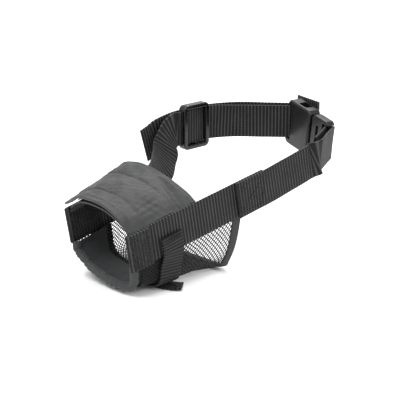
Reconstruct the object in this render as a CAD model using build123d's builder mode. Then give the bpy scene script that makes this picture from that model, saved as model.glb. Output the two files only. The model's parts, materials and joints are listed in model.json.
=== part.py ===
"""Soft nylon dog muzzle: mesh jaw sling, closing nose flap, webbing sides and a buckled neck strap.

Frame, in millimetres: the origin is the middle of the snout opening at its front end, the nose
points to -Y, the neck strap is towards +Y, +Z is up. The wearer's left side is +X.
"""

from build123d import *
import os
from math import cos, radians, sin

os.makedirs("parts", exist_ok=True)

# Driving dimensions
WEB_WIDTH = 25.0          # standard 25 mm webbing
WEB_THICK = 1.8
CHIN_WEB_THICK = 1.5
SIDE_HALF = 32.9          # centreline of a side webbing at the front end
SIDE_SPREAD = 0.045       # the side webbings spread apart towards the rear, mm per mm
SIDE_MID_Z = 2.5          # middle of the webbing at the front end
SIDE_RISE = 0.1835        # the side webbings rise towards the rear, mm per mm
LEFT_END_Y = 115.0        # rear end of the sewn-on side webbing, wearer's left
RIGHT_END_Y = 84.0        # and right
RIGHT_START_Y = 6.5       # the soft muzzle sits a little skewed, so its right side starts further back
OVERLAP = 25.0            # neck strap sewn over the side webbing
FOLD_LENGTH = 16.0        # webbing end folded back at the nose
MESH_THICK = 1.2
LIP_RADIUS = 3.0
ELASTIC_RADIUS = 1.0
SEWN_GAP = 0.2            # air left between two sewn layers
FLAP_THICK = 1.6
INNER_FLAP_THICK = 1.2
PATCH_THICK = 0.7
FLAP_LENGTH = 56.0        # nose flap, front hem to rear edge
BUCKLE_THICK = 10.0
BUCKLE_WIDTH = 34.0
BAR_RADIUS = 1.4
LINING_THICK = 1.0
LIP_INSET = 2.2           # the padded lip's axis, inside the sling's outer face
TAB_Z = -28.1             # top face of the chin strap's loose end
LOOP_OFFSET = 2.6         # from a bar's axis to the middle of the webbing wrapped around it

# Buckle axis: from the female end to the male end, tilted a little down
BUCKLE_CENTRE = Vector(0.0, 202.0, 39.9)
BUCKLE_AXIS = Vector(50.2, -12.4, -8.0).normalized()
BUCKLE_FACE = Vector(-12.4, -50.2, 0.0).normalized()
BUCKLE_UP = BUCKLE_FACE.cross(BUCKLE_AXIS)
BAR_REACH = 24.6          # the male web bar's distance from the buckle's middle
SHELL_BAR_REACH = 20.6    # the female web bar's distance


def side_x(y):
    """Centreline of the +X side webbing, at a distance y behind the front end."""
    return SIDE_HALF + SIDE_SPREAD * y


def side_z(y):
    """Middle height of a side webbing."""
    return SIDE_MID_Z + SIDE_RISE * y


def heading(degrees):
    """A level direction, measured from +X towards +Y."""
    return Vector(cos(radians(degrees)), sin(radians(degrees)), 0)


def strap(stations, width=WEB_WIDTH, thick=WEB_THICK):
    """A flat strap that stands on edge. A station is its middle, its direction and its edge-up direction."""
    with BuildPart() as run:
        for middle, along, edge_up in stations:
            with BuildSketch(Plane(origin=middle, x_dir=along.cross(edge_up), z_dir=along)):
                Rectangle(thick, width)
        loft(ruled=True)
    return run.part


def bar_loop(bar, away, edge_up, reach, spread):
    """Stations of a strap that comes up to a bar, wraps it and goes back beside itself.

    away points from the bar along both plies. They end reach mm out, spread mm each side of the middle.
    """
    side = away.cross(edge_up).normalized()
    back = away * -1
    stations = [(bar + away * reach + side * spread, back, edge_up)]
    for turn in (-90, -45, 0, 45, 90):
        out = back * cos(radians(turn)) - side * sin(radians(turn))
        travel = back * -sin(radians(turn)) - side * cos(radians(turn))
        stations.append((bar + out * LOOP_OFFSET, travel, edge_up))
    stations.append((bar + away * reach - side * spread, away, edge_up))
    return stations


# --- Side webbings -------------------------------------------------------------------------------
# Each runs from the nose to the cheek; its front end is folded back on the outside and sewn down.
UP = Vector(0, 0, 1)
WEB_UP = Vector(0, -SIDE_RISE, 1).normalized()


def side_webbing(side, start_y, end_y):
    """The side webbing with its folded front end, on side +1 or -1."""
    fold_shift = WEB_THICK + SEWN_GAP
    along = Vector(side * SIDE_SPREAD, 1, SIDE_RISE).normalized()

    def station(y, outward):
        return (Vector(side * (side_x(y) + outward), y, side_z(y)), along, WEB_UP)

    with BuildPart() as webbing:
        add(strap([station(start_y, 0), station(end_y, 0)]))
        add(strap([station(start_y, fold_shift), station(start_y + FOLD_LENGTH, fold_shift)]))
        front_turn = [station(start_y - 1.2, fold_shift / 2), station(start_y + 0.4, fold_shift / 2)]
        add(strap(front_turn, thick=2 * WEB_THICK + SEWN_GAP))
    return webbing.part


with BuildPart() as side_webbing_left:
    add(side_webbing(1, 0, LEFT_END_Y))
side_webbing_left.part.label = "side_webbing_left"
export_step(side_webbing_left.part, "parts/side_webbing_left.step")

with BuildPart() as side_webbing_right:
    add(side_webbing(-1, RIGHT_START_Y, RIGHT_END_Y))
side_webbing_right.part.label = "side_webbing_right"
export_step(side_webbing_right.part, "parts/side_webbing_right.step")

# --- Mesh jaw sling ------------------------------------------------------------------------------
# Outer profile of the sling, from the wearer's right to the left, as (x, y, z) at the lip, middle and rear.
SLING = [
    [(-31.0, 9, -7.0), (-29.8, 9, -12.4), (-25, 9, -16.0), (-15, 9, -21.6), (0, 9, -25.8), (12, 9, -27.0),
     (25, 9, -25.2), (29.8, 9, -21.5), (31.0, 9, -15.5), (31.2, 9, -7.0)],
    [(-33.4, 50, 2.2), (-34.0, 49, -9.0), (-33.5, 48, -17.0), (-29, 47, -22.0), (-10, 46, -24.4),
     (8, 46, -24.6), (29, 47, -24.0), (33.4, 48, -20.5), (34.0, 49, -11.0), (33.4, 50, 2.2)],
    [(-35.0, 98, 11.0), (-36.4, 96, -1.5), (-35.6, 92, -13.0), (-33.6, 87.5, -24.0), (-24, 86, -27.4),
     (8, 86, -27.8), (30.0, 86, -27.4), (33.8, 87.5, -23.0), (35.6, 92, -11.0), (35.0, 98, 11.0)],
]
SLING_BREAKS = (0.0, 0.5, 1.0)
CHIN_SHARES = (0.2134, 0.4146)
MESH_START = 0.035
BINDING_START = 0.925
MESH_END = 0.975
SHEET_BREAKS = (*CHIN_SHARES, 0.5, BINDING_START, MESH_END)   # every sheet has an edge here, so none clip


def sling_outline(share):
    """The sling's outer profile at a share of its length, 0 at the lip and 1 at the rear edge."""
    first = 0 if share <= SLING_BREAKS[1] else 1
    local = (share - SLING_BREAKS[first]) / (SLING_BREAKS[first + 1] - SLING_BREAKS[first])
    rows = zip(SLING[first], SLING[first + 1])
    return [Vector(*[a + (b - a) * local for a, b in zip(near, far)]) for near, far in rows]


def inset(points, depth):
    """The profile moved inwards by depth, square to its own line as seen from the front."""
    moved = []
    last = len(points) - 1
    for index, point in enumerate(points):
        before = points[max(index - 1, 0)]
        after = points[min(index + 1, last)]
        along = Vector(after.X - before.X, 0, after.Z - before.Z).normalized()
        moved.append(point + Vector(-along.Z, 0, along.X) * depth)
    return moved


def sling_sheet(from_share, to_share, depth, thick, trim=0):
    """A U-shaped sheet along the sling, depth mm inside its outer face. trim cuts both top ends down."""
    shares = [from_share] + [s for s in SHEET_BREAKS if from_share < s < to_share] + [to_share]
    rings = []
    for share in shares:
        outline = sling_outline(share)
        outer = inset(outline, depth)
        inner = inset(outline, depth + thick)
        for line in (outer, inner):
            line[0] = line[0] + (line[1] - line[0]).normalized() * trim
            line[-1] = line[-1] + (line[-2] - line[-1]).normalized() * trim
        rings.append(outer + inner[::-1])
    return faceted_solid(rings)


def faceted_solid(rings):
    """A closed solid through rings that each hold an outer line and then an inner line reversed."""
    half = len(rings[0]) // 2
    triangles = []
    for index in range(half - 1):
        across = len(rings[0]) - 1 - index
        corners = [index, index + 1, across - 1, across]
        sides = [0, 2] + [3] * (index == 0) + [1] * (index == half - 2)
        cells = [[ring[k] for k in corners] for ring in rings]
        for near, far in zip(cells, cells[1:]):
            triangles += side_triangles(near, far, sides)
        first, last = cells[0], cells[-1]
        triangles += [(first[0], first[2], first[1]), (first[0], first[3], first[2])]
        triangles += [(last[0], last[1], last[2]), (last[0], last[2], last[3])]
    faces = [Face(Wire.make_polygon(list(corners), close=True)) for corners in triangles]
    return Solid(Shell(faces))


def side_triangles(near, far, sides):
    """Two triangles for each listed side between two four-cornered ends; facing sides split the same way."""
    triangles = []
    for k in sides:
        after = (k + 1) % 4
        start, stop = (k, after) if k < 2 else (after, k)
        triangles += [(near[start], far[stop], near[stop]), (near[start], far[stop], far[start])]
    return triangles


with BuildPart() as mesh_panel:
    add(sling_sheet(MESH_START, MESH_END, 0, MESH_THICK))
mesh_panel.part.label = "mesh_panel"
export_step(mesh_panel.part, "parts/mesh_panel.step")

# Soft lining behind the lip, inside the mesh
with BuildPart() as lip_lining:
    add(sling_sheet(MESH_START, CHIN_SHARES[0], MESH_THICK + 1.0, LINING_THICK, trim=4))
lip_lining.part.label = "lip_lining"
export_step(lip_lining.part, "parts/lip_lining.step")

# Folded tape round the mesh's rear edge: an outer fold, an inner fold and the turn behind the edge
with BuildPart() as rear_binding:
    add(sling_sheet(BINDING_START, MESH_END, -0.9, 0.9 - SEWN_GAP))
    add(sling_sheet(BINDING_START, MESH_END, MESH_THICK + SEWN_GAP, 0.9 - SEWN_GAP))
    add(sling_sheet(MESH_END + 0.005, 1.0, -0.9, MESH_THICK + 1.8))
rear_binding.part.label = "rear_binding"
export_step(rear_binding.part, "parts/rear_binding.step")


# --- Padded lip ----------------------------------------------------------------------------------
def lip_cord(radius):
    """A round cord along the sling's front edge."""
    points = [Vector(p.X, p.Y - 1.5, p.Z) for p in inset(sling_outline(0), LIP_INSET)]
    with BuildPart() as cord:
        for index, point in enumerate(points):
            before = points[max(index - 1, 0)]
            after = points[min(index + 1, len(points) - 1)]
            with BuildSketch(Plane(origin=point, x_dir=(0, 1, 0), z_dir=after - before)):
                Circle(radius)
        loft(ruled=True)
    return cord.part


with BuildPart() as lip_roll:
    add(lip_cord(LIP_RADIUS))
    add(lip_cord(ELASTIC_RADIUS + SEWN_GAP), mode=Mode.SUBTRACT)
lip_roll.part.label = "lip_roll"
export_step(lip_roll.part, "parts/lip_roll.step")

with BuildPart() as lip_elastic:
    add(lip_cord(ELASTIC_RADIUS))
lip_elastic.part.label = "lip_elastic"
export_step(lip_elastic.part, "parts/lip_elastic.step")

# --- Chin strap ----------------------------------------------------------------------------------
# It is sewn to the outside of both side webbings and passes under the sling.
CHIN_GAP = 0.9


def chin_line(share):
    """The chin strap's inner face, from the right side webbing under the jaw to the left one."""
    y = sling_outline(share)[5].Y
    beside = side_x(y) + WEB_THICK / 2 + 0.3
    top, low = side_z(y) + 6.5, side_z(y) - WEB_WIDTH / 2
    under = inset(sling_outline(share), -CHIN_GAP)[1:-1]
    right_end = [Vector(-beside, y, top), Vector(-beside, y, low)]
    return right_end + under + [Vector(beside, y, low), Vector(beside, y, top)]


with BuildPart() as chin_strap:
    inner_rings = [chin_line(share) for share in CHIN_SHARES]
    outer_rings = [inset(line, -CHIN_WEB_THICK) for line in inner_rings]
    add(faceted_solid([outer + inner[::-1] for outer, inner in zip(outer_rings, inner_rings)]))
chin_strap.part.label = "chin_strap"
export_step(chin_strap.part, "parts/chin_strap.step")

# Loose end of the chin strap, under the jaw
with BuildPart() as chin_strap_tab:
    with BuildSketch(Plane.XY.offset(TAB_Z)):
        with BuildLine():
            Polyline((8, 27), (26, 27), (36, 38), (35, 45), (24, 45), (8, 43), close=True)
        make_face()
    extrude(amount=-1.2)
chin_strap_tab.part.label = "chin_strap_tab"
export_step(chin_strap_tab.part, "parts/chin_strap_tab.step")

# Dense stitch rows across both upper ends of the chin strap
with BuildPart() as chin_bartacks:
    for side in (-1, 1):
        y = sling_outline(sum(CHIN_SHARES) / 2)[5].Y
        proud = side_x(y) + WEB_THICK / 2 + 0.3 + CHIN_WEB_THICK + 0.25
        face = Plane(origin=(side * proud, y, side_z(y) + 4.2), x_dir=(side * SIDE_SPREAD, 1, SIDE_RISE),
                     z_dir=(side, -SIDE_SPREAD, 0))
        with BuildSketch(face):
            Rectangle(14.5, 2.6)
        extrude(amount=0.3)
chin_bartacks.part.label = "chin_bartacks"
export_step(chin_bartacks.part, "parts/chin_bartacks.step")

# --- Nose flap -----------------------------------------------------------------------------------
# Top surface, right to left, as (x, z) at the front hem and at the rear edge.
FLAP_FRONT = [(-36, 19.6), (-30, 22.3), (-20, 27.2), (-10, 29.6), (0, 30), (10, 28.6), (20, 25), (27, 20.8),
              (31.8, 15.3)]
FLAP_REAR = [(-36, 37.7), (-30, 39.3), (-20, 40.6), (-10, 40), (0, 38.2), (10, 35.8), (20, 32.6), (28, 29.4),
             (34.3, 25.6)]
FLAP_LAST = len(FLAP_FRONT) - 1
LOOP_DEPTH = FLAP_THICK + PATCH_THICK + 0.3
INNER_DEPTH = LOOP_DEPTH + PATCH_THICK + 0.1
FLAP_SKEW = 4.5
PATCH_PLACES = (1, 2, 3)
PATCH_RANGE = (8, 46)     # along y; every flap sheet has an edge at both, so they stay parallel


def flap_point(place, y, depth):
    """A point depth below the flap's top surface; place counts along the outlines' points."""
    index = min(int(place), FLAP_LAST - 1)
    part_way = place - index
    ends = []
    for outline in (FLAP_FRONT, FLAP_REAR):
        (x0, z0), (x1, z1) = outline[index], outline[index + 1]
        ends.append((x0 + (x1 - x0) * part_way, z0 + (z1 - z0) * part_way))
    share = y / FLAP_LENGTH
    x, z = [front + (rear - front) * share for front, rear in zip(*ends)]
    return Vector(x, y + flap_skew(place, share), z - depth)


def flap_skew(place, share):
    """How far back the flap's front edge lies, most at its right corner and nothing from its middle on."""
    return FLAP_SKEW * (1 - share) * max(0, 1 - place / 4)


def flap_sheet(places, y_range, depth, thick, sewn_edge=False):
    """A sheet that follows the flap. sewn_edge leads it down to the right side webbing's top edge."""
    rings = []
    for y in y_range:
        upper = [flap_point(place, y, depth) for place in places]
        lower = [flap_point(place, y, depth + thick) for place in places]
        if sewn_edge:
            edge_x = side_x(y) - WEB_THICK / 2 - SEWN_GAP
            edge_z = side_z(y) + WEB_WIDTH / 2
            edge_y = y + flap_skew(0, y / FLAP_LENGTH)
            upper.insert(0, Vector(-edge_x, edge_y, edge_z))
            lower.insert(0, Vector(thick - edge_x, edge_y, edge_z))
        rings.append(upper + lower[::-1])
    return faceted_solid(rings)


with BuildPart() as nose_flap_outer:
    add(flap_sheet(range(FLAP_LAST + 1), (0, *PATCH_RANGE, FLAP_LENGTH), 0, FLAP_THICK))
nose_flap_outer.part.label = "nose_flap_outer"
export_step(nose_flap_outer.part, "parts/nose_flap_outer.step")

with BuildPart() as nose_flap_inner:
    lengths = (1.5, *PATCH_RANGE, FLAP_LENGTH - 4)
    add(flap_sheet(range(1, FLAP_LAST), lengths, INNER_DEPTH, INNER_FLAP_THICK, sewn_edge=True))
nose_flap_inner.part.label = "nose_flap_inner"
export_step(nose_flap_inner.part, "parts/nose_flap_inner.step")

with BuildPart() as flap_hook_patch:
    add(flap_sheet(PATCH_PLACES, PATCH_RANGE, FLAP_THICK + 0.1, PATCH_THICK))
flap_hook_patch.part.label = "flap_hook_patch"
export_step(flap_hook_patch.part, "parts/flap_hook_patch.step")

with BuildPart() as flap_loop_patch:
    add(flap_sheet(PATCH_PLACES, PATCH_RANGE, LOOP_DEPTH, PATCH_THICK))
flap_loop_patch.part.label = "flap_loop_patch"
export_step(flap_loop_patch.part, "parts/flap_loop_patch.step")

# --- Buckle --------------------------------------------------------------------------------------
# Buckle plane: x from the female to the male end, y up, z towards the nose.
BUCKLE = Plane(origin=BUCKLE_CENTRE, x_dir=BUCKLE_AXIS, z_dir=BUCKLE_FACE)
MOUTH = 6.0               # the female shell's open end
SHELL_END = -22.6         # its web-bar end
CAVITY_END = -14.2
CAVITY_HALF_WIDTH = 14.6
CAVITY_HALF_DEPTH = 3.2
WEB_SLOT = WEB_WIDTH + 1.6
WINDOW = (-12.0, -2.0)


def faces_the_nose(face):
    """True for the buckle's two flat faces."""
    return abs(face.normal_at().dot(BUCKLE.z_dir)) > 0.99


with BuildPart() as buckle_female:
    with BuildSketch(BUCKLE):
        with Locations(((MOUTH + SHELL_END) / 2, 0)):
            RectangleRounded(MOUTH - SHELL_END, BUCKLE_WIDTH, 4)
    extrude(amount=BUCKLE_THICK / 2, both=True)
    fillet(buckle_female.faces().filter_by(faces_the_nose).edges(), 1.6)
    with BuildSketch(BUCKLE):
        with Locations(((MOUTH + 1 + CAVITY_END) / 2, 0)):
            Rectangle(MOUTH + 1 - CAVITY_END, 2 * CAVITY_HALF_WIDTH)
        with Locations((sum(WINDOW) / 2, 0)):
            Rectangle(WINDOW[1] - WINDOW[0], BUCKLE_WIDTH + 2)
    extrude(amount=CAVITY_HALF_DEPTH, both=True, mode=Mode.SUBTRACT)
    with BuildSketch(BUCKLE):
        with Locations((-SHELL_BAR_REACH + 1.0, 0)):
            Rectangle(7.2, WEB_SLOT)
    extrude(amount=BUCKLE_THICK, both=True, mode=Mode.SUBTRACT)
    with Locations(BUCKLE * Location((-SHELL_BAR_REACH, 0, 0), (90, 0, 0))):
        Cylinder(BAR_RADIUS, WEB_SLOT + 1)
buckle_female.part.label = "buckle_female"
export_step(buckle_female.part, "parts/buckle_female.step")

BASE_START = MOUTH + 0.8
BASE_END = BAR_REACH - 4.6
with BuildPart() as buckle_male:
    with BuildSketch(BUCKLE):
        with Locations(((BASE_START + BAR_REACH + 1.4) / 2, 0)):
            RectangleRounded(BAR_REACH + 1.4 - BASE_START, BUCKLE_WIDTH - 2, 3.5)
    extrude(amount=3.6, both=True)
    fillet(buckle_male.faces().filter_by(faces_the_nose).edges(), 1.4)
    with BuildSketch(BUCKLE):
        with Locations(((BASE_END + BAR_REACH + 3) / 2, 0)):
            Rectangle(BAR_REACH + 3 - BASE_END, WEB_SLOT)
        with Locations(((BASE_START + BASE_END) / 2 + 1, 0)):
            SlotOverall(20, 3, rotation=90)
    extrude(amount=BUCKLE_THICK, both=True, mode=Mode.SUBTRACT)
    with Locations(BUCKLE * Location((BAR_REACH, 0, 0), (90, 0, 0))):
        Cylinder(BAR_RADIUS, WEB_SLOT + 1)
    with BuildSketch(BUCKLE):
        with BuildLine():
            Polyline((BASE_START + 0.5, 4.5), (-10, 3), (-12, 1.5), (-12, -1.5), (-10, -3),
                     (BASE_START + 0.5, -4.5), close=True)
        make_face()
    extrude(amount=CAVITY_HALF_DEPTH - 0.6, both=True)
buckle_male.part.label = "buckle_male"
export_step(buckle_male.part, "parts/buckle_male.step")


def latch_arm(side):
    """A springy arm beside the centre prong; its pad shows in the shell's side window."""
    with BuildPart() as arm:
        with BuildSketch(BUCKLE):
            with BuildLine():
                Polyline((BASE_START - 0.4, side * 10.2), (BASE_START - 0.4, side * 13.2),
                         (WINDOW[1], side * 13.6), (WINDOW[1] - 2, side * 14.3), (WINDOW[0] + 2, side * 14.3),
                         (WINDOW[0], side * 12.8), (-13.6, side * 11), (-13.6, side * 9.5), (-11, side * 9.5),
                         (WINDOW[1], side * 11.2), close=True)
            make_face()
        extrude(amount=CAVITY_HALF_DEPTH - 0.5, both=True)
    return arm.part


with BuildPart() as latch_arm_top:
    add(latch_arm(1))
latch_arm_top.part.label = "latch_arm_top"
export_step(latch_arm_top.part, "parts/latch_arm_top.step")

with BuildPart() as latch_arm_bottom:
    add(latch_arm(-1))
latch_arm_bottom.part.label = "latch_arm_bottom"
export_step(latch_arm_bottom.part, "parts/latch_arm_bottom.step")

# --- Slider --------------------------------------------------------------------------------------
# Both plies of the neck strap pass straight through it, one each side of the middle bar.
SLIDER_CENTRE = Vector(-61.0, 143.0, 43.0)
SLIDER = Plane(origin=SLIDER_CENTRE, x_dir=(0, 1, 0), z_dir=(1, 0, 0))
SLIDER_LENGTH = 25.0
SLIDER_HEIGHT = 33.0
PLY_OFFSET = 2.1          # each ply's middle, from the slider's middle bar

with BuildPart() as slider:
    with BuildSketch(SLIDER.offset(-1.2)):
        RectangleRounded(SLIDER_LENGTH, SLIDER_HEIGHT, 4)
        Rectangle(SLIDER_LENGTH - 7, WEB_SLOT, mode=Mode.SUBTRACT)
    extrude(amount=6.6)
    fillet(slider.faces().filter_by(Axis.X).edges(), 0.9)
    with BuildSketch(SLIDER.offset(-2)):
        Rectangle(SLIDER_LENGTH + 2, WEB_SLOT)
    extrude(amount=PLY_OFFSET + WEB_THICK / 2 + 0.35 + 2, mode=Mode.SUBTRACT)
    with BuildSketch(SLIDER.offset(-0.85)):
        Rectangle(4, WEB_SLOT + 1)
    extrude(amount=1.7)
slider.part.label = "slider"
export_step(slider.part, "parts/slider.step")

# --- Neck straps ---------------------------------------------------------------------------------
LEFT_BAR = BUCKLE_CENTRE + BUCKLE_AXIS * BAR_REACH
RIGHT_BAR = BUCKLE_CENTRE - BUCKLE_AXIS * SHELL_BAR_REACH


def through(points, leans=()):
    """Stations of a strap through hand-placed points, upright or with its upper edge leaned to the right."""
    leans = dict(leans)
    stations = []
    last = len(points) - 1
    for index, point in enumerate(points):
        along = (points[min(index + 1, last)] - points[max(index - 1, 0)]).normalized()
        upward = UP - Vector(leans.get(index, 0), 0, 0)
        edge_up = (upward - along * along.dot(upward)).normalized()
        stations.append((point, along, edge_up))
    return stations


def cheek_points(side, end_y):
    """Where a neck strap lies over the outside of its side webbing, front to rear."""
    outward = WEB_THICK + SEWN_GAP
    stops = (end_y - OVERLAP, end_y, end_y + 2.5)
    return [Vector(side * (side_x(y) + outward), y, side_z(y)) for y in stops]


# Left neck strap: from the cheek to where it bends towards the buckle
with BuildPart() as neck_strap_left:
    add(strap(through(cheek_points(1, LEFT_END_Y) + [Vector(40.6, 137, 28.4), Vector(40.6, 158.4, 33)])))
neck_strap_left.part.label = "neck_strap_left"
export_step(neck_strap_left.part, "parts/neck_strap_left.step")

# Its end wraps the male bar and comes back as a short tail
with BuildPart() as male_strap_loop:
    cheek_bend = (Vector(40.2, 161, 33.6), heading(-80), UP)
    add(strap(bar_loop(LEFT_BAR, heading(-62), BUCKLE_UP, 35, LOOP_OFFSET) + [cheek_bend]))
male_strap_loop.part.label = "male_strap_loop"
export_step(male_strap_loop.part, "parts/male_strap_loop.step")

# Right neck strap: cheek, slider, round the female bar, back through the slider, free tail
OUTER_PLY = SLIDER_CENTRE - Vector(PLY_OFFSET, 0, 0)
INNER_PLY = SLIDER_CENTRE + Vector(PLY_OFFSET, 0, 0)
SLIDER_RUN = Vector(0, 16, 0)     # the plies are straight this far each side of the slider's middle

free_tail = [Vector(-60.5, 96, 36), OUTER_PLY + Vector(1.2, -32, -2), OUTER_PLY - SLIDER_RUN]
cheek_rise = [INNER_PLY - SLIDER_RUN, INNER_PLY - Vector(0, 20, 0), Vector(-57.6, 116, 38.5),
              Vector(-53.6, 109.5, 30.5), Vector(-46.7, 100.5, 23.5)]
CHEEK_LEANS = ((3, 0.15), (4, 0.5), (5, 0.5))
outer_side = through(free_tail + [OUTER_PLY + SLIDER_RUN])
inner_side = through([INNER_PLY + SLIDER_RUN] + cheek_rise + cheek_points(-1, RIGHT_END_Y)[::-1], CHEEK_LEANS)
to_slider = (Vector(SLIDER_CENTRE.X + 3, 172, RIGHT_BAR.Z) - RIGHT_BAR).normalized()
loop = bar_loop(RIGHT_BAR, to_slider, BUCKLE_UP, 43, 3.2)
with BuildPart() as neck_strap_right:
    add(strap(outer_side + loop + inner_side))
neck_strap_right.part.label = "neck_strap_right"
export_step(neck_strap_right.part, "parts/neck_strap_right.step")

# Short webbing end behind the buckle, against the wearer's coat side
with BuildPart() as buckle_backing:
    level_axis = Vector(BUCKLE_AXIS.X, BUCKLE_AXIS.Y, 0).normalized()
    behind = BUCKLE_CENTRE - BUCKLE_FACE * (BUCKLE_THICK / 2 + WEB_THICK / 2 + 0.6) + Vector(0, 0, 8.3)
    add(strap([(behind + level_axis * reach, level_axis, UP) for reach in (-24, 2.5)]))
buckle_backing.part.label = "buckle_backing"
export_step(buckle_backing.part, "parts/buckle_backing.step")


# --- Box stitches --------------------------------------------------------------------------------
STITCH_BOX = 19.0


def box_stitch(side, end_y):
    """A sewn square with a cross in it, proud of the neck strap where it overlaps the side webbing."""
    y = end_y - OVERLAP / 2
    proud = side_x(y) + 1.5 * WEB_THICK + SEWN_GAP + 0.15
    face = Plane(origin=(side * proud, y, side_z(y)), x_dir=(side * SIDE_SPREAD, 1, SIDE_RISE),
                 z_dir=(side, -SIDE_SPREAD, 0))
    with BuildPart() as thread:
        with BuildSketch(face):
            Rectangle(STITCH_BOX, STITCH_BOX)
            Rectangle(STITCH_BOX - 1.6, STITCH_BOX - 1.6, mode=Mode.SUBTRACT)
            for turn in (45, -45):
                with Locations(Location((0, 0, 0), (0, 0, turn))):
                    Rectangle(STITCH_BOX * 1.35, 0.8)
        extrude(amount=0.3)
    return thread.part


with BuildPart() as box_stitch_left:
    add(box_stitch(1, LEFT_END_Y))
box_stitch_left.part.label = "box_stitch_left"
export_step(box_stitch_left.part, "parts/box_stitch_left.step")

with BuildPart() as box_stitch_right:
    add(box_stitch(-1, RIGHT_END_Y))
box_stitch_right.part.label = "box_stitch_right"
export_step(box_stitch_right.part, "parts/box_stitch_right.step")
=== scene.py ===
"""Looks for the soft dog muzzle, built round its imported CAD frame. Lengths inside are in millimetres."""

import json
import math

import bmesh
import bpy
import numpy as np
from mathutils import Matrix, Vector


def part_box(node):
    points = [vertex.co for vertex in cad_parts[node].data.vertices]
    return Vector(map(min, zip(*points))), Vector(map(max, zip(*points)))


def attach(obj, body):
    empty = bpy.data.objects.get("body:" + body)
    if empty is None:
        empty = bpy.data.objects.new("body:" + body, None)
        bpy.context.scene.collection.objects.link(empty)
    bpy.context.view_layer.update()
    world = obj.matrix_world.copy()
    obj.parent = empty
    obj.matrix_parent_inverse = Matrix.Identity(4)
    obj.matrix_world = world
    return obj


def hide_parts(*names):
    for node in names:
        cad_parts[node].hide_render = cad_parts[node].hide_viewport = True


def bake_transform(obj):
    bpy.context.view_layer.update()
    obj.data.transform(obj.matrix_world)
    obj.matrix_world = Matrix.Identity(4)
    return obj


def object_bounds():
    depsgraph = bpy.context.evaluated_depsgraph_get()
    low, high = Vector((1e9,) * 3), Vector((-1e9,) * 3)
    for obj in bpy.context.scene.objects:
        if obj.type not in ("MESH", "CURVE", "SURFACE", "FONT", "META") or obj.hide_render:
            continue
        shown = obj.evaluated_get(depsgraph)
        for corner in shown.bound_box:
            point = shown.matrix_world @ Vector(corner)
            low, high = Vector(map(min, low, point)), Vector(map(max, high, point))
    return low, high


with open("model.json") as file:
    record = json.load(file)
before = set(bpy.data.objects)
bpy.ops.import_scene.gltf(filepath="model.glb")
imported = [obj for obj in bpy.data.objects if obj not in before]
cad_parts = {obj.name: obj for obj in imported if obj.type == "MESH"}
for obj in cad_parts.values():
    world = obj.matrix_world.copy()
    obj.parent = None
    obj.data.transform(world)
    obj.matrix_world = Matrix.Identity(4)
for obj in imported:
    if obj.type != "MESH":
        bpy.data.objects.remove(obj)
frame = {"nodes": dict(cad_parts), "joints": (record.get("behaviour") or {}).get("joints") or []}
cad_low, cad_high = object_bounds()
MM = 0.001


# --- Camera --------------------------------------------------------------------------------------
def direction(azimuth, elevation):
    """From the object towards a camera at that azimuth and elevation."""
    a, e = math.radians(azimuth), math.radians(elevation)
    return Vector((math.sin(a) * math.cos(e), -math.cos(a) * math.cos(e), math.sin(e)))


CAMERA_BACK = direction(47.8, 17.3)
CAMERA_AIM = Vector((0, 0.060, 0.0195))
camera = bpy.data.objects.new("camera", bpy.data.cameras.new("camera"))
bpy.context.scene.collection.objects.link(camera)
bpy.context.scene.camera = camera
camera.data.lens = 122.2
camera.location = CAMERA_AIM + CAMERA_BACK * 0.9
right = Vector((0, 0, 1)).cross(CAMERA_BACK).normalized()
look_at = CAMERA_AIM + right * 0.0235 - CAMERA_BACK.cross(right) * 0.0021
camera.rotation_euler = (look_at - camera.location).to_track_quat("-Z", "Y").to_euler()


# --- Geometry helpers ----------------------------------------------------------------------------
def unit(v):
    """Vectors scaled to length one, along the last axis."""
    return v / np.maximum(np.linalg.norm(v, axis=-1, keepdims=True), 1e-12)


def catmull_rom(a, b, c, d, t):
    """The curve from b to c at share t, with a and d as the neighbours."""
    return 0.5 * (2 * b + (c - a) * t + (2 * a - 5 * b + 4 * c - d) * t**2 + (3 * b - 3 * c + d - a) * t**3)


def with_ends(rows):
    """Rows with one more at each end, mirrored, so that the curve has neighbours there."""
    return np.vstack([2 * rows[0] - rows[1], rows, 2 * rows[-1] - rows[-2]])


def smooth_line(points, step):
    """Points every step mm along a smooth curve through the given rows; extra columns come too.

    Returns the points and how far along the curve each one is."""
    points = np.asarray(points, float)
    padded = with_ends(points)
    shares = np.linspace(0, 1, 40, endpoint=False)[:, None]
    rows = [catmull_rom(*ends, shares) for ends in zip(padded, padded[1:], padded[2:], padded[3:])]
    line = np.vstack(rows + [points[-1:]])
    reach = np.concatenate([[0], np.cumsum(np.linalg.norm(np.diff(line[:, :3], axis=0), axis=1))])
    count = max(int(round(reach[-1] / step)), 2) + 1
    stops = np.linspace(0, reach[-1], count)
    return np.stack([np.interp(stops, reach, column) for column in line.T], axis=1), stops


def grid_faces(rows, columns, wrap_columns=False, start=0):
    """Quads over a rows by columns grid of vertices."""
    r = np.arange(rows - 1)[:, None]
    c = np.arange(columns if wrap_columns else columns - 1)[None, :]
    after = (c + 1) % columns
    corners = [r * columns + c, (r + 1) * columns + c, (r + 1) * columns + after, r * columns + after]
    quads = np.stack([np.broadcast_to(corner, (rows - 1, c.size)) for corner in corners], -1)
    return (quads.reshape(-1, 4) + start).tolist()


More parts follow.
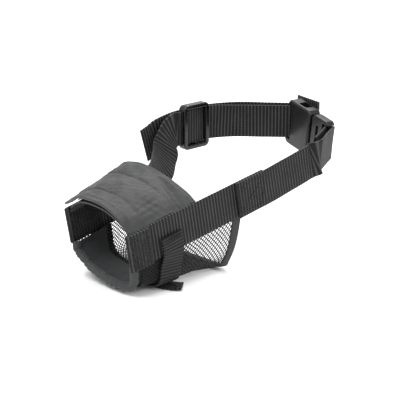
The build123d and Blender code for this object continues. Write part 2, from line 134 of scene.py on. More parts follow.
def make(name, points, faces, uv=None):
    """A smooth-shaded mesh object from points in mm; uv holds one pair per point, in mm too."""
    mesh = bpy.data.meshes.new(name)
    mesh.from_pydata((np.asarray(points, float) * MM).tolist(), [], faces)
    mesh.polygons.foreach_set("use_smooth", [True] * len(mesh.polygons))
    if uv is not None:
        loops = np.zeros(len(mesh.loops), np.int32)
        mesh.loops.foreach_get("vertex_index", loops)
        mesh.uv_layers.new(name="UVMap").data.foreach_set("uv", np.asarray(uv, np.float32)[loops].ravel())
    mesh.validate()
    edit = bmesh.new()
    edit.from_mesh(mesh)
    bmesh.ops.recalc_face_normals(edit, faces=edit.faces)
    edit.to_mesh(mesh)
    edit.free()
    obj = bpy.data.objects.new(name, mesh)
    bpy.context.scene.collection.objects.link(obj)
    return obj


def finish_piece(obj, material, body="muzzle", stands_for=()):
    """Material, slot, body and the CAD nodes that a piece stands for."""
    obj.data.materials.clear()
    obj.data.materials.append(material)
    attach(obj, body)
    if stands_for:
        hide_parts(*stands_for)
    return obj


def noise(size, seed, waves=9):
    """A smooth, seeded wobble over 0..size mm, about -1 to 1, as a function of two coordinates."""
    draw = np.random.default_rng(seed)
    pulls = draw.normal(0, 2 * math.pi / size, (waves, 2))
    phases = draw.uniform(0, 2 * math.pi, waves)

    def at(u, v):
        total = sum(np.sin(pull[0] * u + pull[1] * v + phase) for pull, phase in zip(pulls, phases))
        return total / math.sqrt(waves)

    return at


def closed_sheet(name, top, bottom, uv):
    """A closed sheet between two grids of points of one shape."""
    rows, columns = top.shape[:2]
    count = rows * columns
    faces = grid_faces(rows, columns)
    below = [[q + count for q in face[::-1]] for face in grid_faces(rows, columns)]
    ring = [r * columns for r in range(rows)]
    ring += [(rows - 1) * columns + c for c in range(1, columns)]
    ring += [r * columns + columns - 1 for r in range(rows - 2, -1, -1)]
    ring += list(range(columns - 2, 0, -1))
    rim = [[a + count, b + count, b, a] for a, b in zip(ring, ring[1:] + ring[:1])]
    points = np.concatenate([top.reshape(-1, 3), bottom.reshape(-1, 3)])
    return make(name, points, faces + below + rim, np.tile(uv.reshape(-1, 2), (2, 1)))


# --- Materials -----------------------------------------------------------------------------------
class Shader:
    """A short way to write a node tree round one Principled shader."""

    def __init__(self, name, roughness, sheen=0.0, coat=0.0, specular=0.5):
        self.material = bpy.data.materials.new(name)
        self.material.use_nodes = True
        self.tree = self.material.node_tree
        self.shader = self.tree.nodes["Principled BSDF"]
        self.shader.inputs["Roughness"].default_value = roughness
        self.shader.inputs["Sheen Weight"].default_value = sheen
        self.shader.inputs["Sheen Roughness"].default_value = 0.45
        self.shader.inputs["Coat Weight"].default_value = coat
        self.shader.inputs["Specular IOR Level"].default_value = specular

    def node(self, kind, **settings):
        """A node with settings, each a property or an input by name."""
        made = self.tree.nodes.new(kind)
        for key, value in settings.items():
            if hasattr(made, key):
                setattr(made, key, value)
            else:
                made.inputs[key].default_value = value
        return made

    def link(self, source, target):
        self.tree.links.new(source, target)

    def math(self, operation, a, b=None):
        """One step of arithmetic on outputs or numbers."""
        made = self.node("ShaderNodeMath", operation=operation)
        for socket, value in zip(made.inputs, (a, b)):
            if value is None:
                continue
            if isinstance(value, (int, float)):
                socket.default_value = value
            else:
                self.link(value, socket)
        return made.outputs[0]

    def coordinates(self, source, scale):
        mapping = self.node("ShaderNodeMapping")
        mapping.inputs["Scale"].default_value = scale
        self.link(self.node("ShaderNodeTexCoord").outputs[source], mapping.inputs["Vector"])
        return mapping.outputs[0]

    def uv(self, scale_u, scale_v):
        """UV coordinates, which are mm on the piece, times a scale."""
        return self.coordinates("UV", (scale_u, scale_v, 1))

    def split(self, vector):
        """The first two coordinates of a vector."""
        made = self.node("ShaderNodeSeparateXYZ")
        self.link(vector, made.inputs[0])
        return made.outputs[0], made.outputs[1]

    def place(self, scale):
        """Object coordinates, in metres, times a scale."""
        return self.coordinates("Object", (scale, scale, scale))

    def noise(self, vector, detail):
        made = self.node("ShaderNodeTexNoise", Scale=1.0, Detail=detail)
        self.link(vector, made.inputs["Vector"])
        return made.outputs["Fac"]

    def ramp(self, factor, stops):
        """Colours by factor; a stop is a place and a colour."""
        made = self.node("ShaderNodeValToRGB")
        elements = made.color_ramp.elements
        for element, (place, colour) in zip(elements, stops):
            element.position = place
            element.color = (*colour, 1)
        self.link(factor, made.inputs["Fac"])
        return made.outputs["Color"]

    def bump(self, height, distance, strength):
        made = self.node("ShaderNodeBump", Strength=strength, Distance=distance)
        self.link(height, made.inputs["Height"])
        self.link(made.outputs["Normal"], self.shader.inputs["Normal"])

    def colour(self, output):
        self.link(output, self.shader.inputs["Base Color"])

    def rough(self, output):
        self.link(output, self.shader.inputs["Roughness"])


CORD_PITCH = 1.3


def grey(value, tint):
    """A near-neutral colour; tint leans it towards blue."""
    return (value * (1 - tint), value * (1 - 0.5 * tint), value)


def webbing_material(name, pitch, dark, light):
    """Ribbed nylon: rib crests and yarn loops painted lighter as painted highlight, the grooves between them
    left dark as painted shade, and loose fibres.
    """
    m = Shader(name, 0.6, sheen=0.04, specular=0.22)
    along, across = m.split(m.uv(1, 1))
    rib = m.math("ABSOLUTE", m.math("SINE", m.math("MULTIPLY", along, math.pi / pitch)))
    cord = m.math("ABSOLUTE", m.math("SINE", m.math("MULTIPLY", across, math.pi / CORD_PITCH)))
    loop = m.math("MULTIPLY", rib, cord)
    fibre = m.noise(m.uv(0.9, 6.0), 5.0)
    patch = m.noise(m.place(90.0), 2.0)
    # Painted highlight and shade: crests and loops are painted lighter and grooves darker; the fibres streak
    # that painted highlight, and the patches are random tone.
    level = m.math("ADD", m.math("MULTIPLY", m.math("POWER", rib, 6.0), 0.55), m.math("MULTIPLY", loop, 0.35))
    level = m.math("MULTIPLY", level, m.math("ADD", m.math("MULTIPLY", fibre, 0.9), 0.5))
    level = m.math("ADD", level, m.math("MULTIPLY", m.math("SUBTRACT", patch, 0.5), 0.35))
    m.colour(m.ramp(level, [(0.2, grey(dark, 0.05)), (1.0, grey(light, 0.04))]))
    m.bump(m.math("ADD", loop, m.math("MULTIPLY", fibre, 0.6)), 0.00018, 0.8)
    return m.material


def cloth_material(name, dark, light, thread, rough, sheen, tint=0.04, crease=0.5):
    """Plain-woven cloth: a fine over-and-under of threads, a cloudy mottle of lighter and darker patches as
    painted highlight, and small creases.
    """
    m = Shader(name, rough, sheen=sheen, specular=0.3)
    warp, weft = m.split(m.uv(2 * math.pi / thread, 2 * math.pi / thread))
    weave = m.math("MULTIPLY", m.math("SINE", warp), m.math("SINE", weft))
    cloud = m.noise(m.place(60.0), 4.0)
    fibre = m.noise(m.uv(2.2, 2.2), 4.0)
    # The cloudy mottle in the colour is painted highlight, standing in for the mottled sheen of crinkled
    # cloth; it also sets the roughness.
    level = m.math("ADD", m.math("MULTIPLY", cloud, 0.75), m.math("MULTIPLY", fibre, 0.35))
    level = m.math("ADD", level, m.math("MULTIPLY", weave, 0.10))
    m.colour(m.ramp(level, [(0.3, grey(dark, tint)), (0.85, grey(light, tint))]))
    m.rough(m.ramp(cloud, [(0.3, (rough - 0.08,) * 3), (0.8, (min(rough + 0.12, 1),) * 3)]))
    m.bump(m.math("ADD", m.math("MULTIPLY", weave, 0.4), m.math("MULTIPLY", fibre, crease)), 0.00012, 0.7)
    return m.material


def plastic_material(name, colour, rough, coat):
    """Moulded acetal: a satin skin with faint flow mottling and rubbed spots."""
    m = Shader(name, rough, coat=coat, specular=0.32)
    mottle = m.noise(m.place(420.0), 3.0)
    rub = m.noise(m.place(130.0), 4.0)
    m.colour(m.ramp(rub, [(0.35, grey(colour * 0.85, 0.06)), (0.75, grey(colour * 1.35, 0.06))]))
    m.rough(m.ramp(rub, [(0.3, (rough - 0.07,) * 3), (0.75, (rough + 0.12,) * 3)]))
    m.bump(mottle, 0.00005, 0.35)
    return m.material


WEBBING_PITCH, CHIN_PITCH = 2.5, 2.1
# The last two numbers: groove colour, darkened as painted shade, then crest colour, lightened as painted
# highlight.
webbing = webbing_material("webbing", WEBBING_PITCH, 0.0015, 0.070)
chin_webbing = webbing_material("chin_webbing", CHIN_PITCH, 0.0015, 0.045)
coated_nylon = cloth_material("coated_nylon", 0.016, 0.042, 0.5, 0.46, 0.03)
net_yarn = cloth_material("net_yarn", 0.005, 0.014, 0.35, 0.6, 0.05)
tape = cloth_material("binding_tape", 0.022, 0.046, 0.6, 0.75, 0.06)
lining_cloth = cloth_material("lining", 0.016, 0.032, 0.6, 0.8, 0.08, tint=0.12)
lip_cloth = cloth_material("lip_cloth", 0.018, 0.060, 0.55, 0.70, 0.06)
hook_loop = cloth_material("hook_loop", 0.010, 0.030, 0.4, 0.9, 0.1, crease=2.5)
thread_material = cloth_material("thread", 0.006, 0.022, 0.3, 0.5, 0.05)
seam_thread = cloth_material("seam_thread", 0.045, 0.080, 0.3, 0.5, 0.05)
buckle_plastic = plastic_material("buckle_plastic", 0.009, 0.32, 0.06)
slider_plastic = plastic_material("slider_plastic", 0.004, 0.20, 0.25)


# --- Webbing -------------------------------------------------------------------------------------
WEB_WIDTH, WEB_THICK = 25.0, 1.8
YARN_PITCH = 2.1


def strap_section():
    """A strap's cross-section, anticlockwise: shares of half the width and half the thickness."""
    across = np.concatenate([[-1.0, -0.985], np.linspace(-0.95, 0.95, 17), [0.985, 1.0]])
    side = [(a, 1.0 if abs(a) < 0.97 else (0.8 if abs(a) < 0.99 else 0.35)) for a in across]
    return side + [(a, -b) for a, b in side[::-1]]


def ribbon(name, points, ups, seed, width=WEB_WIDTH, thick=WEB_THICK, pitch=WEBBING_PITCH, flutter=0.0):
    """A ribbed strap through points, as a closed mesh; ups gives its width direction at each point."""
    line, along = smooth_line(np.hstack([points, ups]), pitch / 5)
    middle, up = line[:, :3], unit(line[:, 3:6])
    travel = unit(np.gradient(middle, axis=0))
    up = unit(up - travel * (up * travel).sum(1, keepdims=True))
    face = np.cross(travel, up)
    rib = np.abs(np.sin(math.pi * along / pitch)) ** 0.7
    wobble = noise(38.0, seed)
    rings, uvs = [], []
    for a, b in strap_section():
        yarn = 0.03 * np.sin(2 * math.pi * a * width / YARN_PITCH)
        half = np.full_like(along, thick / 2)
        if abs(a) < 0.97:
            half = half * (0.80 + 0.20 * rib + yarn * rib)
        sway = flutter * wobble(along, a * width / 2)
        edge = 1 + 0.006 * np.sin(2 * math.pi * along / pitch) * (abs(a) > 0.9)
        rings.append(middle + up * (a * width / 2 * edge)[:, None] + face * (b * half + sway)[:, None])
        uvs.append(np.stack([along, np.full_like(along, a * width / 2)], 1))
    grid, uv = np.stack(rings, 1), np.stack(uvs, 1)
    rows, columns = grid.shape[:2]
    faces = [quad[::-1] for quad in grid_faces(rows, columns, wrap_columns=True)]
    for cap in (list(range(columns)), list(range((rows - 1) * columns, rows * columns))[::-1]):
        for k in range(columns // 2 - 1):
            faces.append([cap[k], cap[k + 1], cap[columns - 2 - k], cap[columns - 1 - k]])
    return make(name, grid.reshape(-1, 3), faces, uv.reshape(-1, 2))


# Side webbings, each with its front end folded back and sewn
SIDE_HALF, SIDE_SPREAD, SIDE_MID_Z, SIDE_RISE = 32.9, 0.045, 2.5, 0.1835
SIDE_UP = np.array([0, -SIDE_RISE, 1])
RIGHT_START_Y, RIGHT_END_Y = 6.5, 84.0
LEFT_START_Y, LEFT_END_Y = 0.0, 115.0
SEWN_GAP = 0.2
PLY = WEB_THICK + SEWN_GAP
FOLD_LENGTH = 16.0


def side_x(y):
    """How far out a side webbing's middle is, at y."""
    return SIDE_HALF + SIDE_SPREAD * y


def side_z(y):
    """How high a side webbing's middle is, at y."""
    return SIDE_MID_Z + SIDE_RISE * y


def beside(side, y, outward=0.0):
    """A point on a side webbing's middle line, moved outward."""
    return [side * (side_x(y) + outward), y, side_z(y)]


FOLD = [(FOLD_LENGTH, PLY), (FOLD_LENGTH * 0.6, PLY + 0.1), (3, PLY), (0.2, PLY * 0.93), (-0.7, PLY / 2),
        (0.2, PLY * 0.07)]
for side, name, start_y, end_y in ((1, "side_webbing_left", LEFT_START_Y, LEFT_END_Y),
                                   (-1, "side_webbing_right", RIGHT_START_Y, RIGHT_END_Y)):
    fold = [beside(side, start_y + y, outward) for y, outward in FOLD]
    run = [beside(side, y) for y in (start_y + 3, start_y + 12, 30, 55, end_y - 8, end_y)]
    piece = ribbon(name + "_strap", fold + run, [SIDE_UP] * 12, 3 + side, thick=WEB_THICK - 0.1)
    finish_piece(piece, webbing, stands_for=[name])


# Neck straps, sewn over the side webbings' rear ends
OVERLAP = 25.0
UP = np.array([0, 0, 1.0])


def cheek(side, end_y):
    """A neck strap's sewn end, from the side webbing's rear end forward over the overlap."""
    return [beside(side, y, PLY) for y in (end_y, end_y - OVERLAP / 2, end_y - OVERLAP)]


def buckle_axes():
    """The buckle's pull, face and up directions, from its own joint."""
    joint = next(j for j in frame["joints"] if j["name"] == "buckle_slide")
    axis = np.array(joint["axis"])
    face = np.array([axis[1], -axis[0], 0]) / math.hypot(axis[0], axis[1])
    return axis, face, np.cross(face, axis)


AXIS, FACE, BUCKLE_UP = buckle_axes()
BUCKLE_MIDDLE = np.array([0.0, 202.0, 39.9])
BAR_REACH, SHELL_BAR_REACH, LOOP_OFFSET = 24.6, 20.6, 2.6


def bar_loop(bar, away, reach, spread):
    """A strap's middle line round a bar: up one side, round and back down the other."""
    side = unit(np.cross(away, BUCKLE_UP))
    half_way = side * (spread + LOOP_OFFSET) / 2
    points = [bar + away * reach + side * spread, bar + away * reach * 0.5 + half_way]
    for turn in (-90, -45, 0, 45, 90):
        angle = math.radians(turn)
        points.append(bar + (-away * math.cos(angle) - side * math.sin(angle)) * LOOP_OFFSET)
    return points + [bar + away * reach * 0.5 - half_way, bar + away * reach - side * spread]


LEFT_TURN = math.radians(-62)
left_bar = BUCKLE_MIDDLE + AXIS * BAR_REACH
left_away = np.array([math.cos(LEFT_TURN), math.sin(LEFT_TURN), 0])
left_loop = bar_loop(left_bar, left_away, 35, LOOP_OFFSET)
left_run = [[40.3, 160, 33.2], [40.7, 152, 31.6], [40.6, 137, 28.4]]
left_ups = [BUCKLE_UP] * len(left_loop) + [UP] * 2 + [SIDE_UP] * 4
left_points = left_loop + left_run + cheek(1, LEFT_END_Y)
piece = ribbon("neck_strap_left_webbing", left_points, left_ups, 11, flutter=0.12)
piece.data.materials.append(webbing)
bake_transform(piece)
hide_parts("neck_strap_left", "male_strap_loop")

# From the free tail through the slider, round the female half's bar, back through the slider to the cheek
SLIDER_MIDDLE = np.array([-61.0, 143.0, 43.0])
SLIDER_RUN = np.array([0, 16.0, 0])
PLY_OFFSET = 2.1
outer_ply = SLIDER_MIDDLE - [PLY_OFFSET, 0, 0]
inner_ply = SLIDER_MIDDLE + [PLY_OFFSET, 0, 0]
tail = [[-60.5, 96, 36], [-61.1, 103, 38.2], outer_ply + [1.2, -32, -2], outer_ply - SLIDER_RUN, outer_ply,
        outer_ply + SLIDER_RUN]
right_bar = BUCKLE_MIDDLE - AXIS * SHELL_BAR_REACH
to_slider = unit(np.array([SLIDER_MIDDLE[0] + 3, 172, right_bar[2]]) - right_bar)
right_loop = bar_loop(right_bar, to_slider, 43, 3.2)
rise = [inner_ply + SLIDER_RUN, inner_ply, inner_ply - SLIDER_RUN, inner_ply - [0, 20, 0], [-57.6, 116, 38.5],
        [-53.6, 109.5, 30.5], [-46.7, 100.5, 23.5]]
rise_ups = [UP] * 4 + [[-0.15, 0, 1], [-0.5, 0, 1], [-0.5, 0, 1]]
right_ups = [UP] * len(tail) + [BUCKLE_UP] * len(right_loop) + rise_ups + [SIDE_UP] * 3
right_points = tail + right_loop + rise + cheek(-1, RIGHT_END_Y)
piece = ribbon("neck_strap_right_webbing", right_points, right_ups, 17)
finish_piece(piece, webbing, stands_for=["neck_strap_right"])

# Short webbing behind the buckle
SHELL_HALF_THICK = 5
BACKING_GAP, BACKING_LIFT = 0.6, 8.3
level = unit(np.array([AXIS[0], AXIS[1], 0]))
behind = BUCKLE_MIDDLE - FACE * (SHELL_HALF_THICK + WEB_THICK / 2 + BACKING_GAP) + [0, 0, BACKING_LIFT]
backing_points = [behind + level * reach for reach in (-24, -15, -6, 2.5)]
piece = ribbon("buckle_backing_webbing", backing_points, [UP] * 4, 19)
finish_piece(piece, webbing, stands_for=["buckle_backing"])


# --- Jaw sling: net, lining, lip, binding, chin strap --------------------------------------------
# Outlines at the front, middle and rear, from the right webbing under the jaw to the left one
SLING = np.array([
    [(-31.0, 9, -7.0), (-29.8, 9, -12.4), (-25, 9, -16.0), (-15, 9, -21.6), (0, 9, -25.8), (12, 9, -27.0),
     (25, 9, -25.2), (29.8, 9, -21.5), (31.0, 9, -15.5), (31.2, 9, -7.0)],
    [(-33.4, 50, 2.2), (-34.0, 49, -9.0), (-33.5, 48, -17.0), (-29, 47, -22.0), (-10, 46, -24.4),
     (8, 46, -24.6), (29, 47, -24.0), (33.4, 48, -20.5), (34.0, 49, -11.0), (33.4, 50, 2.2)],
    [(-35.0, 98, 11.0), (-36.4, 96, -1.5), (-35.6, 92, -13.0), (-33.6, 87.5, -24.0), (-24, 86, -27.4),
     (8, 86, -27.8), (30.0, 86, -27.4), (33.8, 87.5, -23.0), (35.6, 92, -11.0), (35.0, 98, 11.0)]])
SLING_LENGTH = 84.0
SLING_FRONT_Y, SLING_RUN = 9.0, 82.0
around_table = [smooth_line(row, 1.0) for row in SLING]
ARC = float(np.mean([stops[-1] for _, stops in around_table]))


def sling_point(around, share):
    """Points of the sling at around mm along its arc and a share of its length."""
    rows = []
    for line, stops in around_table:
        place = np.clip(around / ARC, 0, 1) * stops[-1]
        rows.append(np.stack([np.interp(place, stops, line[:, k]) for k in range(3)], -1))
    s = np.asarray(share)[..., None]
    low = rows[0] + (rows[1] - rows[0]) * (s * 2)
    high = rows[1] + (rows[2] - rows[1]) * (s * 2 - 1)
    return np.where(s <= 0.5, low, high)


def sling_grid(around, share):
    """A grid of sling points, their directions towards the snout, and their UVs."""
    a, s = np.meshgrid(around, share)
    point = sling_point(a, s)
    inward = unit(np.cross(np.gradient(point, axis=1), np.gradient(point, axis=0)))
    middle = tuple(n // 2 for n in a.shape)
    if inward[middle][2] < 0:
        inward = -inward
    return point, inward, np.stack([s * SLING_LENGTH, a], -1)


# Net, as a lattice of diamonds whose edges become strands
NET_PITCH, NET_STRAND, NET_DEPTH, NET_BULGE = 2.8, 0.75, 0.6, 0.35
rows = int(SLING_LENGTH * 0.95 / (NET_PITCH / 2))
columns = int(ARC / (NET_PITCH / 2))
grid, inward, uv = sling_grid(np.linspace(0, ARC, columns), np.linspace(0.03, 0.985, rows))
bulge = NET_BULGE * noise(45.0, 23)(uv[..., 1], uv[..., 0])
grid = grid + inward * (NET_DEPTH + bulge)[..., None]
net_faces = []
for r in range(rows - 2):
    for c in range(1 + r % 2, columns - 1, 2):
        net_faces.append([r * columns + c, (r + 1) * columns + c - 1, (r + 2) * columns + c,
                          (r + 1) * columns + c + 1])
net = make("mesh_net", grid.reshape(-1, 3), net_faces, uv.reshape(-1, 2))
wire = net.modifiers.new("strands", "WIREFRAME")
wire.thickness = NET_STRAND * MM
wire.use_even_offset = True
finish_piece(net, net_yarn, stands_for=["mesh_panel"])

# Lining, ribbed round the opening and gathered by the lip
LINING_END = 0.31
LINING_TOP, LINING_LOW = 3.0, 2.2
RIB_PITCH, RIB_DEPTH, GATHER_DEPTH = 1.5, 0.16, 0.28
lining_share = np.linspace(0.015, LINING_END, 90)
point, inward, uv = sling_grid(np.linspace(0.4, ARC - 0.4, 200), lining_share)
ribs = RIB_DEPTH * np.abs(np.sin(math.pi * lining_share * SLING_LENGTH / RIB_PITCH))[:, None]
gathers = GATHER_DEPTH * noise(16.0, 31)(uv[..., 1], lining_share[:, None] * 30)
gathers = gathers * np.clip(1 - lining_share / LINING_END, 0, 1)[:, None]
lining_top, lining_low = (point + inward * (depth - ribs + gathers)[..., None]
                          for depth in (LINING_TOP, LINING_LOW))
lining = closed_sheet("lip_lining_cloth", lining_top, lining_low, uv)
finish_piece(lining, lining_cloth, stands_for=["lip_lining"])


def inset(points, depth):
    """An outline moved inwards by depth, square to its line as seen from the front."""
    along = unit(np.gradient(points, axis=0) * [1, 0, 1])
    return points + np.stack([-along[:, 2], 0 * along[:, 0], along[:, 0]], 1) * depth


# Lip roll, puckered by the elastic inside it
LIP_RADIUS, LIP_INSET, LIP_FORWARD, LIP_STEP = 3.0, 2.2, 1.5, 0.4
lip_line, lip_along = smooth_line(inset(SLING[0], LIP_INSET) - [0, LIP_FORWARD, 0], LIP_STEP)
lip_travel = unit(np.gradient(lip_line, axis=0))
lip_side = unit(np.cross(lip_travel, [0, 1, 0]))
turns = np.linspace(0, 2 * math.pi, 32, endpoint=False)
pucker_length = 3.9 + 1.5 * noise(9.0, 41)(lip_along, 0)
pucker_phase = np.cumsum(LIP_STEP * 2 * math.pi / pucker_length)
pucker_depth = 0.62 * (0.6 + 0.4 * noise(7.0, 47)(lip_along, 0))
lip_wobble = noise(9.0, 43)
rings, uvs = [], []
for turn in turns:
    gather = np.abs(np.sin(pucker_phase / 2 + 1.6 * math.sin(turn))) ** 0.6
    radius = LIP_RADIUS * 0.96 - pucker_depth * (1 - gather)
    radius = radius + 0.16 * lip_wobble(lip_along, 6 * math.cos(turn))
    out = lip_side * math.cos(turn) + np.array([0, 1, 0]) * math.sin(turn)
    rings.append(lip_line + out * radius[:, None])
    uvs.append(np.stack([lip_along, np.full_like(lip_along, turn * LIP_RADIUS)], 1))
lip_faces = grid_faces(len(lip_line), len(turns), wrap_columns=True)
lip_first = list(range(len(turns)))
lip_faces += [lip_first[::-1], [(len(lip_line) - 1) * len(turns) + k for k in lip_first]]
lip = make("lip_roll_cloth", np.stack(rings, 1).reshape(-1, 3), lip_faces, np.stack(uvs, 1).reshape(-1, 2))
finish_piece(lip, lip_cloth, stands_for=["lip_roll", "lip_elastic"])

# Tape folded over the net's rear edge
BINDING_START, BINDING_DEPTH, BINDING_HALF = 0.925, 0.6, 0.5
binding_share = np.linspace(BINDING_START, 1.0, 15)
binding_around = np.linspace(0, ARC, 420)
point, inward, uv = sling_grid(binding_around, binding_share)
crown = 0.55 * np.sqrt(np.clip(1 - ((binding_share - (BINDING_START + 1) / 2) / 0.0385) ** 2, 0, 1))[:, None]
ribs = 0.10 * np.abs(np.sin(math.pi * binding_around / 0.9))[None, :]
binding_in, binding_out = (point + inward * (BINDING_DEPTH + sign * (BINDING_HALF + crown - ribs))[..., None]
                           for sign in (1, -1))
binding = closed_sheet("rear_binding_tape", binding_in, binding_out, uv)
finish_piece(binding, tape, stands_for=["rear_binding"])

# Chin strap, sewn to both side webbings and under the jaw, and its loose end
CHIN_WIDTH, CHIN_THICK = 17.4, 1.4
CHIN_SHARE = 0.314
CHIN_Y = SLING_FRONT_Y + SLING_RUN * CHIN_SHARE
CHIN_ROOM, NET_ROOM = 0.75, 0.9
CHIN_ENDS = ((0, 2), (-4, 1.2), (-8, 0.5), (-12.5, 0))
chin_under = inset(SLING[0] + (SLING[1] - SLING[0]) * CHIN_SHARE * 2, -NET_ROOM - CHIN_ROOM)[1:-1]
chin_beside = side_x(CHIN_Y) + WEB_THICK / 2 + 0.3 + CHIN_ROOM
chin_left = [[chin_beside, CHIN_Y - slant, side_z(CHIN_Y) + z] for z, slant in CHIN_ENDS]
chin_right = [[-chin_beside, CHIN_Y, z] for _, _, z in chin_left]
chin_points = chin_right + chin_under.tolist() + chin_left[::-1]
chin_ups = [[0, 1, SIDE_RISE]] * 4 + [[0, 1, 0.02]] * len(chin_under) + [[0, 1, SIDE_RISE]] * 4
piece = ribbon("chin_strap_webbing", chin_points, chin_ups, 29, CHIN_WIDTH, CHIN_THICK, CHIN_PITCH)
finish_piece(piece, chin_webbing, stands_for=["chin_strap"])

TAB_WIDTH, TAB_THICK = 14.0, 1.1
tab_low, tab_high = (np.array(c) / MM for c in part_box("chin_strap_tab"))
tab_z = (tab_low[2] + tab_high[2]) / 2
tab_points = [[tab_low[0], 35, tab_z + 0.2], [18, 35, tab_z + 0.1], [27, 36, tab_z], [34, 39, tab_z + 0.15],
              [37, 41.5, tab_z + 0.5]]
tab_ups = [[0, 1, 0]] * 3 + [[-0.3, 1, 0]] * 2
piece = ribbon("chin_tab_webbing", tab_points, tab_ups, 37, TAB_WIDTH, TAB_THICK, CHIN_PITCH)
finish_piece(piece, chin_webbing, stands_for=["chin_strap_tab"])


# --- Nose flap -----------------------------------------------------------------------------------
# X and Z across the nose at the front and rear edges, from the wearer's right to the left
FLAP_FRONT = np.array([(-36, 19.6), (-30, 22.3), (-20, 27.2), (-10, 29.6), (0, 30), (10, 28.6), (20, 25),
                       (27, 20.8), (31.8, 15.3)])
FLAP_REAR = np.array([(-36, 37.7), (-30, 39.3), (-20, 40.6), (-10, 40), (0, 38.2), (10, 35.8), (20, 32.6),
                      (28, 29.4), (34.3, 25.6)])
FLAP_LENGTH, FLAP_THICK, FLAP_SKEW = 56.0, 1.15, 4.5
FLAP_COLUMNS = 160
STITCH_ROWS = (15.5, 40.0)
HEM, HEM_STEP = 6.0, 0.45
flap_wave = noise(26.0, 53)
flap_fine = noise(8.0, 59)


def edge_line(outline, first, last):
    """A smooth outline between two of its points' places."""
    places = np.linspace(0, len(outline) - 1, (len(outline) - 1) * 40 + 1)
    padded = with_ends(outline)
    rows = []
    for place in places:
        index = min(int(place), len(outline) - 2)
        rows.append(catmull_rom(*padded[index:index + 4], place - index))
    picked = np.linspace(first, last, FLAP_COLUMNS)
    return np.stack([np.interp(picked, places, np.array(rows)[:, k]) for k in (0, 1)], 1)


def flap_surface(ys, depth, first=0, last=8, relief=1.0):
    """The flap's surface at depth below its top, with its stitched channels, folds and creases, and UVs."""
    front, rear = edge_line(FLAP_FRONT, first, last), edge_line(FLAP_REAR, first, last)
    share = (ys / FLAP_LENGTH)[:, None, None]
    flat = front[None] + (rear - front)[None] * share
    x, z = flat[..., 0], flat[..., 1]
    places = np.linspace(first, last, FLAP_COLUMNS)
    y = ys[:, None] + FLAP_SKEW * (1 - share[..., 0]) * np.clip(1 - places / 4, 0, 1)
    near = np.clip((x + 4) / 30, 0, 1)
    dip = sum(0.5 * np.exp(-(((y - row) / 1.2) ** 2)) for row in STITCH_ROWS)
    dip = dip + 2.2 * near * np.exp(-(((y - 47.5 + 0.16 * (x - 20)) / 2.6) ** 2))
    dip = dip - 0.6 * near * np.exp(-(((y - 52.5) / 1.6) ** 2))
    puff = 0.35 * np.sin(math.pi * np.clip((y - STITCH_ROWS[0]) / (STITCH_ROWS[1] - STITCH_ROWS[0]), 0, 1))
    edge = np.clip(np.minimum(y, FLAP_LENGTH - y) / 4, 0, 1)
    wave = 0.50 * flap_wave(x, y) + 0.13 * flap_fine(x, y)
    z = z - depth + relief * (puff - dip + wave * edge) - 0.3
    return np.stack([x, y, z], -1), np.stack([x, y], -1)


def flap_rows(start, end, step):
    """Places from start to end, about step apart."""
    return np.linspace(start, end, int((end - start) / step) + 1)


flap_y = flap_rows(0, FLAP_LENGTH, 0.5)
flap_top, flap_uv = flap_surface(flap_y, 0)
flap_top[..., 2] += HEM_STEP * (1 / (1 + np.exp((flap_y - HEM) / 0.18)))[:, None]
flap_low, _ = flap_surface(flap_y, FLAP_THICK)
flap = closed_sheet("nose_flap_cloth", flap_top, flap_low, flap_uv)
bevel = flap.modifiers.new("edge", "BEVEL")
bevel.width = 0.35 * MM
bevel.segments = 2
bevel.limit_method = "ANGLE"
finish_piece(flap, coated_nylon, body="nose_flap", stands_for=["nose_flap_outer"])

# Inner flap: its first columns bend down to a foot inside the right webbing, where it is sewn
INNER_DEPTH, INNER_THICK, FOOT_COLUMNS = 3.5, 1.0, 14
inner_y = flap_rows(1.5, 52, 0.8)
inner_top, inner_uv = flap_surface(inner_y, INNER_DEPTH, first=0.75, last=7, relief=0.3)
inner_low, _ = flap_surface(inner_y, INNER_DEPTH + INNER_THICK, first=0.75, last=7, relief=0.3)
for surface, inside in ((inner_top, 0.0), (inner_low, INNER_THICK)):
    start = surface[:, FOOT_COLUMNS].copy()
    foot_x = inside - (side_x(inner_y) - WEB_THICK / 2 - 0.3)
    foot_z = side_z(inner_y) + WEB_WIDTH / 2 - 1.5
    foot = np.stack([foot_x, inner_y + FLAP_SKEW * (1 - inner_y / FLAP_LENGTH), foot_z], 1)
    for k in range(FOOT_COLUMNS):
        t = k / FOOT_COLUMNS
        bow = np.array([-1.0, 0, 0.6]) * math.sin(math.pi * t) * 0.8
        surface[:, k] = foot * (1 - t) + start * t + bow
inner = closed_sheet("nose_flap_inner_cloth", inner_top, inner_low, inner_uv)
finish_piece(inner, coated_nylon, stands_for=["nose_flap_inner"])

# Hook patch under the outer flap, loop patch on the inner one
PATCH_THICK = 0.6
patch_y = flap_rows(8, 46, 0.8)
for name, depth, body, node in (("flap_hooks", 1.35, "nose_flap", "flap_hook_patch"),
                                ("flap_loops", 2.6, "muzzle", "flap_loop_patch")):
    patch_top, patch_uv = flap_surface(patch_y, depth, first=1, last=3, relief=0.3)
    patch_low, _ = flap_surface(patch_y, depth + PATCH_THICK, first=1, last=3, relief=0.3)
    patch = closed_sheet(name, patch_top, patch_low, patch_uv)
    finish_piece(patch, hook_loop, body=body, stands_for=[node])


# --- Stitches ------------------------------------------------------------------------------------
# A stitch's rings: places along its length, and heights above the cloth in radii
STITCH_ALONG = np.array([-0.5, -0.3, 0, 0.3, 0.5])
STITCH_HEIGHT = np.array([-0.6, 0.35, 0.6, 0.35, -0.6])
STITCH_SIDES = 6


